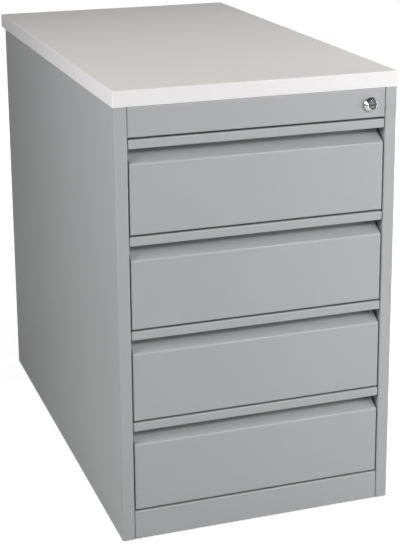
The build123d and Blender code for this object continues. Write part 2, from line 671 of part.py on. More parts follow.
def build_parts():
    """Every node of the cabinet, by name."""
    board, edging, top_screws = worktop()
    right_side = side_panel()
    fascia = fixed_panel((FASCIA_BOTTOM, CARCASS_TOP))
    places = [(drawer, post) for drawer in DRAWERS for post in POSTS]
    parts = {
        "worktop_board": [board],
        "worktop_edging": edging,
        "worktop_screws": top_screws,
        "left_side_panel": [mirrored(right_side)],
        "right_side_panel": [right_side],
        "back_panel": [back_panel()],
        "base_panel": [base_panel()],
        "plinth": [fixed_panel((FLOOR_GAP, PLINTH_TOP))],
        "lock_fascia": [drill_top_screws(fascia) - lock_hole()],
        "top_rear_rail": [rear_rail()],
        "runner_posts": both_hands([runner_post(y) for y in POSTS]),
        "runner_fixed_channels": both_hands([fixed_channel(drawer) for drawer in DRAWERS]),
        "runner_screws": both_hands([runner_screw(*place) for place in places]),
        "foot_nuts": [foot_nut(x, y) for x, y in foot_places().values()],
        "lock_housing": [lock_housing()],
        "lock_nut": [lock_nut()],
        "lock_plug": [lock_plug()],
        "lock_cam": [lock_cam()],
        "lock_cam_screw": [cam_screw()],
        "lock_bar": [lock_bar()],
        "lock_bar_arm": [lock_bar_arm()],
        "lock_bar_hooks": [lock_bar_hook(drawer) for drawer in DRAWERS],
        "lock_bar_guides": [bar_guide(drawer) for drawer in (1, DRAWER_COUNT)],
    }
    for name, (x, y) in foot_places().items():
        parts[f"{name}_foot"] = foot(x, y)
    for drawer in DRAWERS:
        parts[f"drawer_{drawer}_front_skin"] = [drawer_skin(drawer)]
        parts[f"drawer_{drawer}_pull_liner"] = [pull_liner(drawer)]
        parts[f"drawer_{drawer}_tray"] = tray(drawer)
        parts[f"drawer_{drawer}_lock_catch"] = [lock_catch(drawer)]
        parts[f"drawer_{drawer}_inner_channels"] = both_hands([inner_channel(drawer)])
        parts[f"drawer_{drawer}_middle_channels"] = both_hands([middle_channel(drawer)])
        parts[f"drawer_{drawer}_outer_cages"] = both_hands([outer_cage(drawer)])
        parts[f"drawer_{drawer}_inner_cages"] = both_hands([inner_cage(drawer)])
    return parts


os.makedirs("parts", exist_ok=True)
for node, solids in build_parts().items():
    shape = solids[0] if len(solids) == 1 else Compound(children=solids)
    export_step(shape, f"parts/{node}.step")
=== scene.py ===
"""Looks of a desk-high steel drawer pedestal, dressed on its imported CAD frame.

Metres, +Z up. The drawers face -Y, and +X is on the right of someone facing them.
"""
import math

import bmesh
import bpy
from mathutils import Matrix, Vector


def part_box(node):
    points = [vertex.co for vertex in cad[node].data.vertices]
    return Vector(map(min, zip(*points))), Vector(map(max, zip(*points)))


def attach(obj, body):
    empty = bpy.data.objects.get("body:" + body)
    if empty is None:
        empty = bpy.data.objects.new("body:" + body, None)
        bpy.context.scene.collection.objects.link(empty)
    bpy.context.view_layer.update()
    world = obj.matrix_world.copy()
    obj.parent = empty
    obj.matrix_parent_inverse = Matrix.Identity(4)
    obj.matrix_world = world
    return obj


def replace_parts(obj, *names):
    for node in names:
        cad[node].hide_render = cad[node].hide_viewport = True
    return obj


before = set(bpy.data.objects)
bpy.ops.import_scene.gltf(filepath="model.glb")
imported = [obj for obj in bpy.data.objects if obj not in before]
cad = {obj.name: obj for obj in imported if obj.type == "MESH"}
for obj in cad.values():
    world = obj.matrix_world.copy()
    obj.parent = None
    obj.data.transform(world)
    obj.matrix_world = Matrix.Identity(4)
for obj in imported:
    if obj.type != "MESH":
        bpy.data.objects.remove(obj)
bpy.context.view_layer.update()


def linear(code):
    """Linear colour of an sRGB hex value."""
    parts = [int(code[i:i + 2], 16) / 255 for i in (1, 3, 5)]
    return tuple(p / 12.92 if p <= 0.04045 else ((p + 0.055) / 1.055) ** 2.4 for p in parts) + (1.0,)


def add(tree, kind, settings=None, sockets=None):
    """Adds a node; a socket given as a socket is linked, and any other value is set.

    Sockets go by name, or by number where a node has several of one name: a Mix of colours has its factor
    at 0 and the colours at 6 and 7.
    """
    made = tree.nodes.new(kind)
    for name, value in (settings or {}).items():
        setattr(made, name, value)
    for name, value in (sockets or {}).items():
        if isinstance(value, bpy.types.NodeSocket):
            tree.links.new(value, made.inputs[name])
        else:
            made.inputs[name].default_value = value
    return made


def new_material(name):
    """Empty material, with its node tree and the Object coordinates that its patterns read."""
    material = bpy.data.materials.new(name)
    material.use_nodes = True
    material.node_tree.nodes.clear()
    place = add(material.node_tree, "ShaderNodeTexCoord").outputs["Object"]
    return material, material.node_tree, place


def dress(nodes, material):
    """Gives CAD nodes a material."""
    for name in nodes:
        cad[name].material_slots[0].material = material


def powder_coat(name, light, dark, gloss):
    """Baked polyester powder: a satin skin with a faint orange peel and slow clouds in tone and gloss."""
    material, tree, place = new_material(name)
    peel_cell = 0.0025  # orange peel, which breaks up what the skin mirrors
    film_cloud = 0.15   # the sprayed film thickens and thins over this length
    peel = add(tree, "ShaderNodeTexNoise", None, {"Vector": place, "Scale": 1 / peel_cell, "Detail": 2.0})
    film = add(tree, "ShaderNodeTexNoise", None, {"Vector": place, "Scale": 1 / film_cloud, "Detail": 3.0})
    tone = add(tree, "ShaderNodeMix", {"data_type": "RGBA"}, {
        0: film.outputs[0], 6: linear(dark), 7: linear(light)})
    sheen = add(tree, "ShaderNodeMapRange", None, {
        "Value": peel.outputs[0], "To Min": gloss - 0.04, "To Max": gloss + 0.04})
    bump = add(tree, "ShaderNodeBump", None, {
        "Strength": 0.12, "Distance": 0.0003, "Height": peel.outputs[0]})
    skin = add(tree, "ShaderNodeBsdfPrincipled", None, {
        "Base Color": tone.outputs[2], "Roughness": sheen.outputs[0], "Normal": bump.outputs[0],
        "Specular IOR Level": 0.45})
    add(tree, "ShaderNodeOutputMaterial", None, {"Surface": skin.outputs[0]})
    return material


grey_powder_coat = powder_coat("grey_powder_coat", "#AFB0B1", "#ABACAD", 0.35)
dress(("left_side_panel", "right_side_panel", "back_panel", "base_panel", "plinth", "lock_fascia",
       "top_rear_rail", "runner_posts"), grey_powder_coat)

# Spot welds: the copper tips that squeeze two sheets together leave a ring about 6 mm across, and the powder
# flows over it. They run down the back flanges of the two sides.
SPOT_WELD = {"Radius": 0.0027, "Bead": 0.00035}
FLANGE_MIDDLE = 0.2225
BACK_FACE = 0.391
LOWEST_WELD = 0.045
WELD_PITCH = 0.0615
WELDS = 11
TO_BACK = (-math.pi / 2, 0, 0)
scene = bpy.context.scene


def new_tree(name, sizes):
    """Geometry Nodes tree with a named input for each size; the piece's own vertices come in as places."""
    tree = bpy.data.node_groups.new(name, "GeometryNodeTree")
    tree.interface.new_socket("Geometry", in_out="INPUT", socket_type="NodeSocketGeometry")
    for label, kind in sizes.items():
        tree.interface.new_socket(label, in_out="INPUT", socket_type="NodeSocket" + kind)
    tree.interface.new_socket("Geometry", in_out="OUTPUT", socket_type="NodeSocketGeometry")
    return tree, add(tree, "NodeGroupInput").outputs


def stand(tree, places, shape, material, spin=None):
    """Ends a tree: the shape stands on every place at the turn there, is made real and takes its material."""
    turn = add(tree, "GeometryNodeInputNamedAttribute", {"data_type": "FLOAT_VECTOR"}, {"Name": "turn"})
    turn = add(tree, "FunctionNodeEulerToRotation", None, {0: turn.outputs[0]})
    if spin is not None:
        turn = add(tree, "FunctionNodeRotateRotation", {"rotation_space": "LOCAL"}, {
            0: turn.outputs[0], 1: spin})
    copies = add(tree, "GeometryNodeInstanceOnPoints", None, {
        "Points": places, "Instance": shape, "Rotation": turn.outputs[0]})
    real = add(tree, "GeometryNodeRealizeInstances", None, {0: copies.outputs[0]})
    clad = add(tree, "GeometryNodeSetMaterial", None, {0: real.outputs[0], "Material": material})
    add(tree, "NodeGroupOutput", None, {0: clad.outputs[0]})


def grow(name, tree, places, sizes, body):
    """Plain mesh of what a tree grows on places, each a point and the turn there, riding on a body."""
    points = bpy.data.meshes.new(name)
    points.from_pydata([point for point, turn in places], [], [])
    turns = points.attributes.new("turn", "FLOAT_VECTOR", "POINT")
    for row, (point, turn) in zip(turns.data, places):
        row.vector = turn
    piece = bpy.data.objects.new(name, points)
    scene.collection.objects.link(piece)
    growth = piece.modifiers.new("growth", "NODES")
    growth.node_group = tree
    for socket in tree.interface.items_tree:
        if socket.in_out == "INPUT" and socket.name in sizes:
            growth[socket.identifier] = sizes[socket.name]
    grown = bpy.data.meshes.new_from_object(piece.evaluated_get(bpy.context.evaluated_depsgraph_get()))
    piece.modifiers.remove(growth)
    piece.data = grown
    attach(piece, body)
    return piece


weld_ring, given = new_tree("weld_ring", {"Radius": "Float", "Bead": "Float", "Paint": "Material"})
path = add(weld_ring, "GeometryNodeCurvePrimitiveCircle", None, {"Resolution": 14, "Radius": given["Radius"]})
bead = add(weld_ring, "GeometryNodeCurvePrimitiveCircle", None, {"Resolution": 5, "Radius": given["Bead"]})
weld = add(weld_ring, "GeometryNodeCurveToMesh", None, {
    "Curve": path.outputs[0], "Profile Curve": bead.outputs[0]})
stand(weld_ring, given["Geometry"], weld.outputs[0], given["Paint"])
columns = [((side * FLANGE_MIDDLE, BACK_FACE, LOWEST_WELD + WELD_PITCH * i), TO_BACK)
           for side in (-1, 1) for i in range(WELDS)]
grow("back_flange_welds", weld_ring, columns, {**SPOT_WELD, "Paint": grey_powder_coat},
     "carcass")

# Levelling feet: a black nylon pad, moulded with grip ribs on the end of a zinc-plated stud, which turns in a
# nut welded to the base. The stud has an M10 thread, with a crest every 1.5 mm.
FEET = {"front_left_foot": (-0.185, -0.334), "front_right_foot": (0.185, -0.334),
        "rear_left_foot": (-0.185, 0.346), "rear_right_foot": (0.185, 0.346)}
PAD_PROFILE = [(0, 0), (0.0166, 0), (0.0172, 0.0004), (0.0174, 0.0012), (0.0174, 0.0058), (0.0172, 0.0066),
               (0.0152, 0.0086), (0.0145, 0.009), (0.0054, 0.009), (0.0050, 0.0086), (0.0050, 0.0045),
               (0, 0.0045)]
GRIP = {"Ring": 0.0172, "Ribs": 28, "Width": 0.0008, "Height": 0.0046}
GRIP_LEVEL = 0.0035
STUD_ROOT = 0.0041
STUD_CREST = 0.0049
STUD_PITCH = 0.0015
STUD_TURNS = 24
UP = (0, 0, 1)
UPRIGHT = (0, 0, 0)

# The nylon's mould was spark eroded, so the black looks soft and dry, with a fine matt grain.
# The grain is really about 0.3 mm, and is drawn three times as coarse so that it shows.
NYLON_GRAIN = 0.0009
nylon, tree, place = new_material("black_nylon")
grain = add(tree, "ShaderNodeTexNoise", None, {"Vector": place, "Scale": 1 / NYLON_GRAIN, "Detail": 2.0})
tone = add(tree, "ShaderNodeMix", {"data_type": "RGBA"}, {
    0: grain.outputs[0], 6: linear("#151617"), 7: linear("#1F2022")})
relief = add(tree, "ShaderNodeBump", None, {
    "Strength": 0.2, "Distance": 0.0002, "Height": grain.outputs[0]})
skin = add(tree, "ShaderNodeBsdfPrincipled", None, {
    "Base Color": tone.outputs[2], "Roughness": 0.5, "Normal": relief.outputs[0], "IOR": 1.53})
add(tree, "ShaderNodeOutputMaterial", None, {"Surface": skin.outputs[0]})

# Zinc plating on rolled strip is a light, cool grey metal. Rolling marks about 0.7 mm apart and 50 mm long run
# along the runners and streak what it mirrors, and the plating clouds over about 12 mm.
MARKS_PER_METRE = (1400, 20, 1400)
PLATING_CLOUD = 0.012
zinc_plate, tree, place = new_material("zinc_plated_steel")
rolled = add(tree, "ShaderNodeMapping", {"vector_type": "POINT"}, {"Vector": place, "Scale": MARKS_PER_METRE})
marks = add(tree, "ShaderNodeTexNoise", None, {"Vector": rolled.outputs[0], "Scale": 1.0, "Detail": 2.0})
plating = add(tree, "ShaderNodeTexNoise", None, {"Vector": place, "Scale": 1 / PLATING_CLOUD, "Detail": 3.0})
metal = add(tree, "ShaderNodeMix", {"data_type": "RGBA"}, {
    0: plating.outputs[0], 6: linear("#B3B6B8"), 7: linear("#BFC1C3")})
gloss = add(tree, "ShaderNodeMapRange", None, {"Value": marks.outputs[0], "To Min": 0.26, "To Max": 0.4})
relief = add(tree, "ShaderNodeBump", None, {
    "Strength": 0.2, "Distance": 0.0001, "Height": marks.outputs[0]})
skin = add(tree, "ShaderNodeBsdfPrincipled", None, {
    "Base Color": metal.outputs[2], "Metallic": 1.0, "Roughness": gloss.outputs[0],
    "Normal": relief.outputs[0]})
add(tree, "ShaderNodeOutputMaterial", None, {"Surface": skin.outputs[0]})


def turned(name, profile, centre, axis):
    """Mesh turned on an axis from a closed profile of (radius, distance along the axis)."""
    steps = 64
    rows = []
    shape = bmesh.new()
    across = Vector(axis).orthogonal().normalized()
    for i in range(steps):
        out = Matrix.Rotation(2 * math.pi * i / steps, 3, axis) @ across
        rows.append([shape.verts.new(Vector(centre) + out * r + Vector(axis) * h) for r, h in profile])
    for near, far in zip(rows, rows[1:] + rows[:1]):
        for j in range(len(profile)):
            k = (j + 1) % len(profile)
            if profile[j][0] or profile[k][0]:
                shape.faces.new((near[j], near[k], far[k], far[j])).smooth = True
    bmesh.ops.remove_doubles(shape, verts=shape.verts[:], dist=1e-6)
    bmesh.ops.recalc_face_normals(shape, faces=shape.faces[:])
    mesh = bpy.data.meshes.new(name)
    shape.to_mesh(mesh)
    shape.free()
    mesh.set_sharp_from_angle(angle=math.radians(40))
    return mesh


def fit(mesh, material, body):
    """Object of a mesh in its place, with its material, riding on a body."""
    mesh.materials.append(material)
    piece = bpy.data.objects.new(mesh.name, mesh)
    scene.collection.objects.link(piece)
    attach(piece, body)
    return piece


grip_rib, given = new_tree("grip_rib", {
    "Ring": "Float", "Ribs": "Int", "Width": "Float", "Height": "Float", "Plastic": "Material"})
ring = add(grip_rib, "GeometryNodeCurvePrimitiveCircle", None, {
    "Resolution": given["Ribs"], "Radius": given["Ring"]})
ring = add(grip_rib, "GeometryNodeInstanceOnPoints", None, {
    "Points": given["Geometry"], "Instance": ring.outputs[0]})
ring = add(grip_rib, "GeometryNodeRealizeInstances", None, {0: ring.outputs[0]})
ring = add(grip_rib, "GeometryNodeCurveToPoints", {"mode": "EVALUATED"}, {0: ring.outputs[0]})
rib = add(grip_rib, "GeometryNodeMeshCylinder", {"fill_type": "NGON"}, {
    "Vertices": 10, "Radius": given["Width"], "Depth": given["Height"]})
stand(grip_rib, ring.outputs[0], rib.outputs[0], given["Plastic"])
stud_profile = [(0, 0.0045), (STUD_ROOT, 0.0045), (STUD_ROOT, 0.0092)]
for i in range(STUD_TURNS):
    rise = STUD_PITCH * i
    stud_profile += [(STUD_ROOT, 0.0094 + rise), (STUD_CREST, 0.01 + rise), (STUD_CREST, 0.0103 + rise)]
stud_profile += [(STUD_ROOT, 0.0456), (0.0037, 0.046), (0, 0.046)]
for foot, (x, y) in FEET.items():
    pad = fit(turned(f"{foot}_pad", PAD_PROFILE, (x, y, 0), UP), nylon, foot)
    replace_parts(pad, foot)
    fit(turned(f"{foot}_stud", stud_profile, (x, y, 0), UP), zinc_plate, foot)
    grow(f"{foot}_ribs", grip_rib, [((x, y, GRIP_LEVEL), UPRIGHT)], {**GRIP, "Plastic": nylon},
         foot)
dress(("foot_nuts",), zinc_plate)

# Runners: telescopic channels roll-formed from zinc-plated strip. The outer ones are screwed to the posts with
# pan-head cross-recessed screws, and the inner ones are riveted to the trays.
DRAWERS = (1, 2, 3, 4)
RUNNER_SCREW = {"Head": 0.0038, "Height": 0.0015, "Shank": 0.002, "Length": 0.0062, "Crests": 6,
                "Recess": 0.0009, "Seed": 3}
RUNNER_SCREW_SEAT = 0.2088
RUNNER_SCREWS_ALONG = (-0.3383, -0.05115, 0.236)
HEAD_TAPER = 0.72    # a screw head's top, as a share of its foot
BLADE_LIFT = 0.75    # middle of the driver's blade, as a share of the head's height
BLADE_PROUD = (0, 0, 0.0002)
THREAD_ROOT = 0.78   # a screw thread's root, as a share of its crest
RIVET = {"Head": 0.0036, "Height": 0.0009}
RIVET_SEAT = 0.1985
RIVETS_ALONG = (-0.355, -0.15, 0.055, 0.245)
TO_LEFT = (0, -math.pi / 2, 0)
TO_RIGHT = (0, math.pi / 2, 0)
dress(("runner_fixed_channels",), zinc_plate)
for d in DRAWERS:
    dress((f"drawer_{d}_inner_channels", f"drawer_{d}_middle_channels"), zinc_plate)

cross_screw, given = new_tree("cross_screw", {
    "Head": "Float", "Height": "Float", "Shank": "Float", "Length": "Float", "Crests": "Int", "Recess": "Float",
    "Seed": "Int", "Metal": "Material"})
narrow = add(cross_screw, "ShaderNodeMath", {"operation": "MULTIPLY"}, {0: given["Head"], 1: HEAD_TAPER})
head = add(cross_screw, "GeometryNodeMeshCone", {"fill_type": "NGON"}, {
    "Vertices": 20, "Radius Top": narrow.outputs[0], "Radius Bottom": given["Head"],
    "Depth": given["Height"]})
# the driver's two blades cross, and their recess is cut from the head
arm = add(cross_screw, "ShaderNodeCombineXYZ", None, {
    0: given["Head"], 1: given["Recess"], 2: given["Height"]})
blade = add(cross_screw, "GeometryNodeMeshCube", None, {"Size": arm.outputs[0]})
lift = add(cross_screw, "ShaderNodeMath", {"operation": "MULTIPLY"}, {0: given["Height"], 1: BLADE_LIFT})
lift = add(cross_screw, "ShaderNodeCombineXYZ", None, {2: lift.outputs[0]})
lift = add(cross_screw, "ShaderNodeVectorMath", {"operation": "ADD"}, {0: lift.outputs[0], 1: BLADE_PROUD})
blade_a = add(cross_screw, "GeometryNodeTransform", None, {
    0: blade.outputs[0], "Translation": lift.outputs[0]})
blade_b = add(cross_screw, "GeometryNodeTransform", None, {
    0: blade_a.outputs[0], "Rotation": (0, 0, math.pi / 2)})
cross = add(cross_screw, "GeometryNodeMeshBoolean", {"operation": "UNION", "solver": "EXACT"}, {
    1: blade_a.outputs[0]})
cross_screw.links.new(blade_b.outputs[0], cross.inputs[1])
head = add(cross_screw, "GeometryNodeMeshBoolean", {"operation": "DIFFERENCE", "solver": "EXACT"}, {
    0: head.outputs[0], 1: cross.outputs[0]})
# the thread is a stack of cones, one for each crest
pitch = add(cross_screw, "ShaderNodeMath", {"operation": "DIVIDE"}, {0: given["Length"], 1: given["Crests"]})
root = add(cross_screw, "ShaderNodeMath", {"operation": "MULTIPLY"}, {0: given["Shank"], 1: THREAD_ROOT})
crest = add(cross_screw, "GeometryNodeMeshCone", {"fill_type": "NGON"}, {
    "Vertices": 12, "Radius Top": given["Shank"], "Radius Bottom": root.outputs[0],
    "Depth": pitch.outputs[0]})
down = add(cross_screw, "ShaderNodeMath", {"operation": "MULTIPLY"}, {0: pitch.outputs[0], 1: -1.0})
down = add(cross_screw, "ShaderNodeCombineXYZ", None, {2: down.outputs[0]})
thread = add(cross_screw, "GeometryNodeMeshLine", None, {
    "Count": given["Crests"], "Start Location": down.outputs[0], "Offset": down.outputs[0]})
thread = add(cross_screw, "GeometryNodeInstanceOnPoints", None, {
    "Points": thread.outputs[0], "Instance": crest.outputs[0]})
screw = add(cross_screw, "GeometryNodeJoinGeometry")
cross_screw.links.new(head.outputs[0], screw.inputs[0])
cross_screw.links.new(thread.outputs[0], screw.inputs[0])
# each screw stopped where its driver left it
driven = add(cross_screw, "FunctionNodeRandomValue", {"data_type": "FLOAT"}, {
    2: 0.0, 3: math.pi, "Seed": given["Seed"]})
driven = add(cross_screw, "ShaderNodeCombineXYZ", None, {2: driven.outputs[1]})
driven = add(cross_screw, "FunctionNodeEulerToRotation", None, {0: driven.outputs[0]})
stand(cross_screw, given["Geometry"], screw.outputs[0], given["Metal"], driven.outputs[0])
centres = {}
for d in DRAWERS:
    low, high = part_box(f"drawer_{d}_inner_channels")
    centres[d] = (low.z + high.z) / 2
places = [((side * RUNNER_SCREW_SEAT, y, centres[d]), TO_LEFT if side > 0 else TO_RIGHT)
          for side in (-1, 1) for d in DRAWERS for y in RUNNER_SCREWS_ALONG]
screws = grow("runner_pan_screws", cross_screw, places, {**RUNNER_SCREW, "Metal": zinc_plate},
              "carcass")
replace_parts(screws, "runner_screws")

rivet, given = new_tree("rivet", {"Head": "Float", "Height": "Float", "Metal": "Material"})
dome = add(rivet, "GeometryNodeMeshUVSphere", None, {"Segments": 14, "Rings": 6, "Radius": given["Head"]})
flat = add(rivet, "ShaderNodeMath", {"operation": "DIVIDE"}, {0: given["Height"], 1: given["Head"]})
flat = add(rivet, "ShaderNodeCombineXYZ", None, {0: 1.0, 1: 1.0, 2: flat.outputs[0]})
dome = add(rivet, "GeometryNodeTransform", None, {0: dome.outputs[0], "Scale": flat.outputs[0]})
dome = add(rivet, "GeometryNodeSetShadeSmooth", None, {0: dome.outputs[0], "Shade Smooth": True})
stand(rivet, given["Geometry"], dome.outputs[0], given["Metal"])
for d in DRAWERS:
    places = [((side * RIVET_SEAT, y, centres[d]), TO_RIGHT if side > 0 else TO_LEFT)
              for side in (-1, 1) for y in RIVETS_ALONG]
    grow(f"drawer_{d}_runner_rivets", rivet, places, {**RIVET, "Metal": zinc_plate},
         f"drawer_{d}")

# Ball cages: thin folded strip between two channels, with a row of hardened steel balls along each edge, which
# roll in the grooves of the channels.
CAGES = (("outer_cages", 0.2069, 0.0196), ("inner_cages", 0.2048, 0.0144))  # place of the web, half the height
CAGE_LIP = 0.1999
CAGE_ENDS = (-0.219, 0.111)
BALLS = {"Ball": 0.00175, "Count": 22, "Step": (0, 0.015, 0)}
FIRST_BALL = -0.2115
BALL_TRACK = 0.2026
BALL_INSET = 0.0003

# Ball steel is ground and lapped bright, so each ball has a small sharp highlight. A trace of grease dulls it
# in clouds of about 3 mm.
GREASE_CLOUD = 0.003
ball_steel, tree, place = new_material("hardened_ball_steel")
grease = add(tree, "ShaderNodeTexNoise", None, {"Vector": place, "Scale": 1 / GREASE_CLOUD, "Detail": 1.0})
gloss = add(tree, "ShaderNodeMapRange", None, {"Value": grease.outputs[0], "To Min": 0.12, "To Max": 0.3})
skin = add(tree, "ShaderNodeBsdfPrincipled", None, {
    "Base Color": linear("#C9CACB"), "Metallic": 1.0, "Roughness": gloss.outputs[0]})
add(tree, "ShaderNodeOutputMaterial", None, {"Surface": skin.outputs[0]})

ball_row, given = new_tree("ball_row", {
    "Ball": "Float", "Count": "Int", "Step": "Vector", "Metal": "Material"})
row = add(ball_row, "GeometryNodeMeshLine", None, {"Count": given["Count"], "Offset": given["Step"]})
rows = add(ball_row, "GeometryNodeInstanceOnPoints", None, {
    "Points": given["Geometry"], "Instance": row.outputs[0]})
rows = add(ball_row, "GeometryNodeRealizeInstances", None, {0: rows.outputs[0]})
ball = add(ball_row, "GeometryNodeMeshUVSphere", None, {"Segments": 8, "Rings": 6, "Radius": given["Ball"]})
ball = add(ball_row, "GeometryNodeSetShadeSmooth", None, {0: ball.outputs[0], "Shade Smooth": True})
stand(ball_row, rows.outputs[0], ball.outputs[0], given["Metal"])


def cage_strip(name, lip, web, half, ends, height):
    """Pair of C-shaped strips, left and right of the drawer, from the lip's end, the web and half the height."""
    thick = 0.0006
    fold = 0.0008
    bulge = 0.0002
    shape = bmesh.new()
    outer = [(lip, half), (web - fold, half), (web - bulge, half - bulge), (web, half - fold)]
    outer += [(x, -z) for x, z in reversed(outer)]
    inner = [(lip, half - thick), (web - fold, half - thick), (web - thick, half - thick - fold)]
    inner += [(x, -z) for x, z in reversed(inner)]
    outline = outer + inner[::-1]
    for side in (-1, 1):
        near = [shape.verts.new((side * x, ends[0], height + z)) for x, z in outline]
        far = [shape.verts.new((side * x, ends[1], height + z)) for x, z in outline]
        for i in range(len(outline)):
            j = (i + 1) % len(outline)
            shape.faces.new((near[i], near[j], far[j], far[i]))
        shape.faces.new(near)
        shape.faces.new(far[::-1])
    bmesh.ops.recalc_face_normals(shape, faces=shape.faces[:])
    mesh = bpy.data.meshes.new(name)
    shape.to_mesh(mesh)
    shape.free()
    return mesh


for d in DRAWERS:
    for cage, web, half in CAGES:
        body = f"drawer_{d}_{cage}"
        strip = cage_strip(f"{body}_strips", CAGE_LIP, web, half, CAGE_ENDS, centres[d])
        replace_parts(fit(strip, zinc_plate, body), body)
        tracks = [((side * BALL_TRACK, FIRST_BALL, centres[d] + level * (half - BALL_INSET)), UPRIGHT)
                  for side in (-1, 1) for level in (-1, 1)]
        grow(f"{body}_balls", ball_row, tracks, {**BALLS, "Metal": ball_steel}, body)

# Drawer fronts: an outer skin with the slope of the pull, and an inner liner folded over into its lip, both of
# the same powder-coated sheet as the carcass.
for d in DRAWERS:
    dress((f"drawer_{d}_front_skin", f"drawer_{d}_pull_liner"), grey_powder_coat)

# Trays: 0.8 mm sheet, folded, spot-welded along the floor and powder coated in the same grey, a little flatter
# in gloss. A zinc-plated catch for the lock bar is welded to the right side.
FLOOR_TOP = 0.0018  # above the tray's underside: the side's lower fold, with the floor sheet on it
FLOOR_EDGE = 0.1922
FIRST_FLOOR_WELD = -0.355
FLOOR_WELD_PITCH = 0.06
FLOOR_WELDS = 12
tray_powder_coat = powder_coat("tray_powder_coat", "#ADAEAF", "#A7A8A9", 0.5)
for d in DRAWERS:
    dress((f"drawer_{d}_tray",), tray_powder_coat)
    dress((f"drawer_{d}_lock_catch",), zinc_plate)
    floor_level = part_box(f"drawer_{d}_tray")[0].z + FLOOR_TOP
    lines = [((side * FLOOR_EDGE, FIRST_FLOOR_WELD + FLOOR_WELD_PITCH * i, floor_level), UPRIGHT)
             for side in (-1, 1) for i in range(FLOOR_WELDS)]
    grow(f"drawer_{d}_floor_welds", weld_ring, lines, {**SPOT_WELD, "Paint": tray_powder_coat},
         f"drawer_{d}")

# Lock bar: flat zinc-plated steel that slides up and down in nylon guides behind the right stile, with an arm
# for the cam's crank pin and a hook for each drawer. The cam is screwed to the back of the lock's plug.
LOCK = (0.1845, -0.409, 0.68)  # on the lock's axis, in the face of the fascia
CAM_BACK = -0.3761
CAM_SCREW = {"Head": 0.0038, "Height": 0.0018, "Shank": 0.0015, "Length": 0.007, "Crests": 8,
             "Recess": 0.0009, "Seed": 5}
dress(("lock_nut", "lock_cam", "lock_bar", "lock_bar_arm", "lock_bar_hooks"), zinc_plate)
dress(("lock_bar_guides",), nylon)
cam_screw = grow("cam_pan_screw", cross_screw, [((LOCK[0], CAM_BACK, LOCK[2]), TO_BACK)],
                 {**CAM_SCREW, "Metal": zinc_plate}, "lock_plug")
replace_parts(cam_screw, "lock_cam_screw")

# Lock: a die-cast housing with a coned bezel, clamped through the fascia by its nut, and a turned plug with the
# keyway. Both are polished and bright chromium plated.
GROOVE_PROFILE = [(0.0047, -0.009), (0.0061, -0.009), (0.0059, -0.0066), (0.005, -0.0066)]
PAINTED_SHADE_REACH = 0.0062          # painted shade lies nearer to the axis than this
PAINTED_SHADE_DEPTH = (0.0001, 0.02)  # and lies this far behind the plug's face
TO_REAR = (0, 1, 0)
# from the barrel's end forward: barrel, back of the rim, rim, cone, rounded nose, down into the counterbore
HOUSING_PROFILE = [
    (0.00568, 0.03), (0.0088, 0.03), (0.009, 0.0298), (0.009, 0), (0.0119, 0), (0.012, -0.0001),
    (0.012, -0.003), (0.01192, -0.0034), (0.0117, -0.0037), (0.0114, -0.00403), (0.009, -0.00677),
    (0.0087, -0.0071), (0.0083, -0.0075), (0.0079, -0.0079), (0.0076, -0.008), (0.0073, -0.0079),
    (0.0071, -0.0074), (0.00694, -0.0067), (0.00688, -0.006), (0.00688, -0.00352), (0.00568, -0.00352)]

# Chrome mirrors the whole room almost clearly, with a faint haze from handling in clouds of about 4 mm.
HAZE_CLOUD = 0.004
chrome, tree, place = new_material("bright_chrome")
haze = add(tree, "ShaderNodeTexNoise", None, {"Vector": place, "Scale": 1 / HAZE_CLOUD, "Detail": 2.0})
gloss = add(tree, "ShaderNodeMapRange", None, {"Value": haze.outputs[0], "To Min": 0.03, "To Max": 0.08})
skin = add(tree, "ShaderNodeBsdfPrincipled", None, {
    "Base Color": linear("#E4E5E6"), "Metallic": 1.0, "Roughness": gloss.outputs[0]})
add(tree, "ShaderNodeOutputMaterial", None, {"Surface": skin.outputs[0]})
housing = turned("lock_housing_turned", HOUSING_PROFILE, LOCK, TO_REAR)
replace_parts(fit(housing, chrome, "carcass"), "lock_housing")

# The keyway and the groove turned round it are painted dark: painted shade in these recesses, where the chrome
# would mirror light out, drawn as dull unplated zinc alloy. Its cast grain is drawn at 0.8 mm, coarser than it
# is, so that it shows.
CAST_GRAIN = 0.0008
keyway_painted_shade, tree, place = new_material("keyway_painted_shade_alloy")
cast = add(tree, "ShaderNodeTexNoise", None, {"Vector": place, "Scale": 1 / CAST_GRAIN, "Detail": 2.0})
tone = add(tree, "ShaderNodeMix", {"data_type": "RGBA"}, {
    0: cast.outputs[0], 6: linear("#202122"), 7: linear("#303132")})
skin = add(tree, "ShaderNodeBsdfPrincipled", None, {
    "Base Color": tone.outputs[2], "Metallic": 0.6, "Roughness": 0.6})
add(tree, "ShaderNodeOutputMaterial", None, {"Surface": skin.outputs[0]})
blank = bmesh.new()
blank.from_mesh(cad["lock_plug"].data)
bmesh.ops.remove_doubles(blank, verts=blank.verts[:], dist=1e-6)
plug = bpy.data.meshes.new("lock_plug_grooved")
blank.to_mesh(plug)
blank.free()
plug = fit(plug, chrome, "lock_plug")
cutter = bpy.data.objects.new("groove_cutter", turned("groove_cutter", GROOVE_PROFILE, LOCK, TO_REAR))
scene.collection.objects.link(cutter)
groove = plug.modifiers.new("groove", "BOOLEAN")
groove.object = cutter
groove.solver = "EXACT"
grooved = bpy.data.meshes.new_from_object(plug.evaluated_get(bpy.context.evaluated_depsgraph_get()))
plug.modifiers.remove(groove)
bpy.data.objects.remove(cutter)
plug.data = grooved
grooved.materials.clear()
grooved.materials.append(chrome)
grooved.materials.append(keyway_painted_shade)
plug_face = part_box("lock_plug")[0].y
# faces down in the keyway and the groove take the painted shade, and the rest stays chrome
for side in grooved.polygons:
    out = math.hypot(side.center.x - LOCK[0], side.center.z - LOCK[2])
    sunk = side.center.y - plug_face
    side.material_index = 1 if out < PAINTED_SHADE_REACH and PAINTED_SHADE_DEPTH[0] < sunk < PAINTED_SHADE_DEPTH[1] else 0
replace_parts(plug, "lock_plug")

